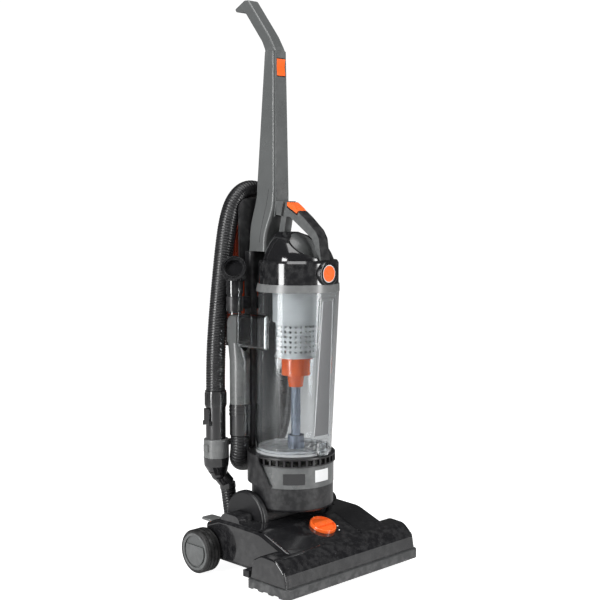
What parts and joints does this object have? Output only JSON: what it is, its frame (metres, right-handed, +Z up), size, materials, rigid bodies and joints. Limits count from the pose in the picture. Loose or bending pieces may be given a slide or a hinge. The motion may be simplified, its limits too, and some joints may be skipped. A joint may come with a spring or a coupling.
{
  "type": "upright vacuum cleaner",
  "caption": "Bagless upright vacuum cleaner with a floor nozzle, reclining body, lift-off clear dust cup, ribbed hose, wand, wound power cord and bent grip",
  "frame": {"origin": "middle of the machine's footprint rectangle, on the floor under the rear wheels and front rollers", "axes": "+Z up; +X to the right for someone standing behind the machine; -Y the way the nozzle faces"},
  "size_m": [0.362, 0.3211, 1.1099],
  "materials": {
    "black_gloss": "glossy black moulded ABS",
    "black_satin": "satin black moulded plastic",
    "bumper_grey": "dark grey soft bumper",
    "grey_satin": "satin dark grey moulded plastic",
    "orange": "orange moulded plastic",
    "clear": "clear polycarbonate",
    "screen_grey": "light grey screen",
    "black_rubber": "black soft rubber or hose plastic",
    "tyre": "black tread",
    "steel": "zinc plated steel",
    "cord_orange": "orange power cord jacket",
    "brush": "bristles",
    "foam": "pleated filter",
    "rotor": "moulded fan on its shaft"
  },
  "bodies": {
    "base": {"hood": "black_gloss", "rear_deck": "black_gloss", "end_caps": "black_gloss", "bumper": "bumper_grey", "chassis": "black_satin", "soleplate": "black_satin", "base_screws": "steel", "axle_pins": "steel", "brush_bearings": "black_satin", "drive_belt": "black_rubber"},
    "left_wheel": {"left_wheel_hub": "grey_satin", "left_wheel_tyre": "tyre"},
    "right_wheel": {"right_wheel_hub": "grey_satin", "right_wheel_tyre": "tyre"},
    "roller_carriage": {"roller_carriage": "black_satin"},
    "front_rollers": {"front_rollers": "tyre"},
    "height_dial": {"height_dial": "orange"},
    "brush_roll": {"brush_roll": "brush"},
    "release_pedal": {"release_pedal": "grey_satin"},
    "upright": {"lower_housing": "black_satin", "motor_cover": "grey_satin", "vent_ring": "black_satin", "exhaust_filter": "foam", "motor_can": "steel", "spine": "black_satin", "handle_shell": "grey_satin", "handle_cover": "black_satin", "grip": "grey_satin", "inlet_duct": "grey_satin", "duct_gasket": "black_rubber", "duct_cuff": "black_gloss", "long_hose": "black_rubber", "hose_cuff": "black_gloss", "valve_sleeve": "grey_satin", "valve_elbow": "black_gloss", "lower_hose": "black_rubber", "tool_holder": "black_satin", "cord_winding": "cord_orange", "cord_lead": "cord_orange", "cord_tail": "cord_orange", "strain_relief": "black_rubber", "plug": "black_rubber"},
    "motor_rotor": {"motor_rotor": "rotor"},
    "power_switch": {"power_switch": "orange"},
    "upper_cord_hook": {"upper_cord_hook": "black_satin"},
    "dirt_cup": {"dust_cup": "clear", "cup_door": "clear", "separator_shroud": "screen_grey", "separator_cone": "orange", "centre_tube": "screen_grey", "cup_collar": "grey_satin", "cup_lid": "black_gloss", "lid_cap": "grey_satin", "carry_handle": "grey_satin", "carry_grip": "black_satin"},
    "cup_release": {"cup_release": "orange"},
    "door_latch": {"door_latch": "clear"},
    "hose_latch": {"hose_latch": "black_gloss"},
    "wand": {"wand": "black_gloss"},
    "dusting_brush": {"dusting_brush": "brush"}
  },
  "joints": [
    {"name": "recline", "type": "hinge", "parent": "base", "child": "upright", "pos_m": [0, 0.04545, 0.104], "axis": [-1, 0, 0], "range_deg": [0, 50], "deforming": ["lower_hose"]},
    {"name": "left_wheel_axle", "type": "hinge", "parent": "base", "child": "left_wheel", "pos_m": [-0.1579, 0.10345, 0.0422], "axis": [1, 0, 0], "continuous": true},
    {"name": "right_wheel_axle", "type": "hinge", "parent": "base", "child": "right_wheel", "pos_m": [0.1579, 0.10345, 0.0422], "axis": [1, 0, 0], "continuous": true},
    {"name": "height_dial_turn", "type": "hinge", "parent": "base", "child": "height_dial", "pos_m": [0, -0.07155, 0.093], "axis": [0, -0.342, 0.9397], "range_deg": [0, 90]},
    {"name": "roller_carriage_slide", "type": "slide", "parent": "base", "child": "roller_carriage", "axis": [0, 0, -1], "range_m": [0, 0.01]},
    {"name": "front_roller_axle", "type": "hinge", "parent": "roller_carriage", "child": "front_rollers", "pos_m": [0, -0.04655, 0.009], "axis": [1, 0, 0], "continuous": true},
    {"name": "motor_shaft", "type": "hinge", "parent": "upright", "child": "motor_rotor", "pos_m": [0, 0.04545, 0.104], "axis": [1, 0, 0], "continuous": true},
    {"name": "brush_roll_axle", "type": "hinge", "parent": "base", "child": "brush_roll", "pos_m": [0, -0.10655, 0.036], "axis": [1, 0, 0], "continuous": true},
    {"name": "pedal_hinge", "type": "hinge", "parent": "base", "child": "release_pedal", "pos_m": [-0.119, 0.10345, 0.08], "axis": [-1, 0, 0], "range_deg": [0, 8], "stiffness_Nm_per_rad": 2, "springref_deg": -6.88},
    {"name": "switch_rock", "type": "hinge", "parent": "upright", "child": "power_switch", "pos_m": [0, 0.04845, 0.973], "axis": [1, 0, 0], "range_deg": [0, 10]},
    {"name": "cord_hook_turn", "type": "hinge", "parent": "upright", "child": "upper_cord_hook", "pos_m": [0, 0.10345, 0.634], "axis": [0, 1, 0], "range_deg": [0, 180]},
    {"name": "dirt_cup_lift_off", "type": "slide", "parent": "upright", "child": "dirt_cup", "axis": [0, -1, 0], "range_m": [0, 0.3]},
    {"name": "cup_release_press", "type": "slide", "parent": "dirt_cup", "child": "cup_release", "axis": [0, 0, -1], "range_m": [0, 0.003], "stiffness_N_per_m": 700, "springref_m": -0.002},
    {"name": "door_latch_hinge", "type": "hinge", "parent": "dirt_cup", "child": "door_latch", "pos_m": [0, -0.07115, 0.246], "axis": [1, 0, 0], "range_deg": [0, 8], "stiffness_Nm_per_rad": 0.6, "springref_deg": -5.73},
    {"name": "hose_latch_press", "type": "hinge", "parent": "upright", "child": "hose_latch", "pos_m": [-0.1211, 0.12745, 0.283], "axis": [0, 1, 0], "range_deg": [0, 3], "stiffness_Nm_per_rad": 0.6, "springref_deg": -5.73},
    {"name": "wand_pull_out", "type": "slide", "parent": "upright", "child": "wand", "axis": [0, 0, 1], "range_m": [0, 0.12]},
    {"name": "dusting_brush_pull_off", "type": "slide", "parent": "wand", "child": "dusting_brush", "axis": [0, 0, 1], "range_m": [0, 0.04]}
  ],
  "couplings": [
    {"joint": "roller_carriage_slide", "follows": "height_dial_turn", "m_per_rad": 0.006366},
    {"joint": "brush_roll_axle", "follows": "motor_shaft", "ratio": 0.225}
  ]
}
